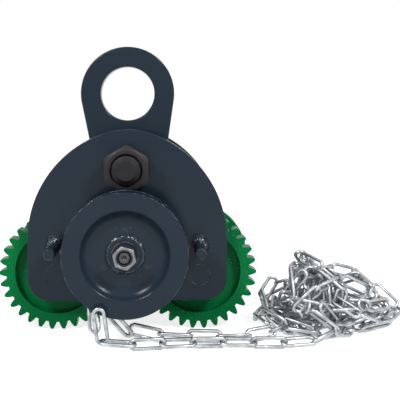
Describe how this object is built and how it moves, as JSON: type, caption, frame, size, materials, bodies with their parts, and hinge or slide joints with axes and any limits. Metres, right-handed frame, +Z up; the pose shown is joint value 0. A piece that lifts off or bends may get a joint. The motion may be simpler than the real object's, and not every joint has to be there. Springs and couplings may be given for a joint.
{
  "type": "geared beam trolley",
  "caption": "Hand-chain geared beam trolley with side plates, geared and plain flanged wheels, a chain wheel with its hand chain, and a load eye on an adjustable shaft.",
  "frame": {"origin": "on the floor, under the middle of the trolley's box without its chain", "axes": "+Z up from the wheels to the load eye, +Y from the chain wheel to the rear plate, along all shafts, +X along the beam to the right as seen from the chain wheel"},
  "size_m": [0.4376, 0.2604, 0.315],
  "materials": {
    "slate_paint": "satin",
    "green_paint": "gloss",
    "zinc_chain": "zinc plated",
    "black_nut": "black oxide",
    "zinc_plate": "zinc plated",
    "nylon": "matt",
    "bronze": "turned",
    "axle_steel": "painted over at the flush end",
    "oiled_steel": "oiled",
    "bearing_steel": "ground"
  },
  "bodies": {
    "frame": {"front_inner_load_nut": "black_nut", "front_outer_load_nut": "black_nut", "front_side_plate": "slate_paint", "front_spacer_sleeve": "oiled_steel", "hand_chain_front_strand": "zinc_chain", "hand_chain_heap": "zinc_chain", "hand_chain_on_wheel": "zinc_chain", "hand_chain_rear_strand": "zinc_chain", "left_chain_guide": "slate_paint", "left_chain_guide_weld": "slate_paint", "left_geared_axle": "axle_steel", "left_geared_axle_circlip": "bearing_steel", "left_geared_bearing_inner_rings": "bearing_steel", "load_shaft": "oiled_steel", "pinion_inner_bush": "bronze", "pinion_outer_bush": "bronze", "pinion_sleeve": "slate_paint", "pinion_sleeve_weld": "slate_paint", "rear_spacer_sleeve": "oiled_steel", "right_chain_guide": "slate_paint", "right_chain_guide_weld": "slate_paint", "right_geared_axle": "axle_steel", "right_geared_axle_circlip": "bearing_steel", "right_geared_bearing_inner_rings": "bearing_steel"},
    "chain_wheel": {"centre_plug_welds": "slate_paint", "chain_wheel_front_disc": "slate_paint", "chain_wheel_hub": "slate_paint", "chain_wheel_rear_disc": "slate_paint", "drive_pinion": "oiled_steel", "hub_key": "oiled_steel", "hub_lock_nut": "zinc_plate", "hub_washer": "slate_paint", "hub_weld": "slate_paint", "lock_nut_insert": "nylon"},
    "rear_carriage": {"left_plain_axle": "axle_steel", "left_plain_axle_circlip": "bearing_steel", "left_plain_bearing_inner_rings": "bearing_steel", "rear_inner_load_nut": "black_nut", "rear_outer_load_nut": "black_nut", "rear_side_plate": "slate_paint", "right_plain_axle": "axle_steel", "right_plain_axle_circlip": "bearing_steel", "right_plain_bearing_inner_rings": "bearing_steel"},
    "eye": {"load_eye": "slate_paint"},
    "left_geared_wheel": {"left_geared_wheel": "green_paint", "left_geared_bearing_outer_rings": "bearing_steel", "left_geared_retaining_ring": "bearing_steel"},
    "right_geared_wheel": {"right_geared_wheel": "green_paint", "right_geared_bearing_outer_rings": "bearing_steel", "right_geared_retaining_ring": "bearing_steel"},
    "left_plain_wheel": {"left_plain_wheel": "green_paint", "left_plain_bearing_outer_rings": "bearing_steel", "left_plain_retaining_ring": "bearing_steel"},
    "right_plain_wheel": {"right_plain_wheel": "green_paint", "right_plain_bearing_outer_rings": "bearing_steel", "right_plain_retaining_ring": "bearing_steel"}
  },
  "joints": [
    {"name": "left_geared_wheel_spin", "type": "hinge", "parent": "frame", "child": "left_geared_wheel", "pos_m": [-0.078, -0.00475, 0.0636], "axis": [0, 1, 0], "continuous": true},
    {"name": "right_geared_wheel_spin", "type": "hinge", "parent": "frame", "child": "right_geared_wheel", "pos_m": [0.078, -0.00475, 0.0636], "axis": [0, 1, 0], "continuous": true},
    {"name": "chain_wheel_spin", "type": "hinge", "parent": "frame", "child": "chain_wheel", "pos_m": [0, -0.06725, 0.09478], "axis": [0, 1, 0], "continuous": true},
    {"name": "width_setting", "type": "slide", "parent": "frame", "child": "rear_carriage", "axis": [0, 1, 0], "range_m": [0, 0.04]},
    {"name": "left_plain_wheel_spin", "type": "hinge", "parent": "rear_carriage", "child": "left_plain_wheel", "pos_m": [-0.078, -0.00475, 0.0636], "axis": [0, 1, 0], "continuous": true},
    {"name": "right_plain_wheel_spin", "type": "hinge", "parent": "rear_carriage", "child": "right_plain_wheel", "pos_m": [0.078, -0.00475, 0.0636], "axis": [0, 1, 0], "continuous": true},
    {"name": "eye_swing", "type": "hinge", "parent": "frame", "child": "eye", "pos_m": [0, -0.00475, 0.1786], "axis": [0, 1, 0], "range_deg": [-90, 90]}
  ],
  "couplings": [
    {"joint": "right_geared_wheel_spin", "follows": "left_geared_wheel_spin", "ratio": 1},
    {"joint": "chain_wheel_spin", "follows": "left_geared_wheel_spin", "ratio": -2.5}
  ]
}
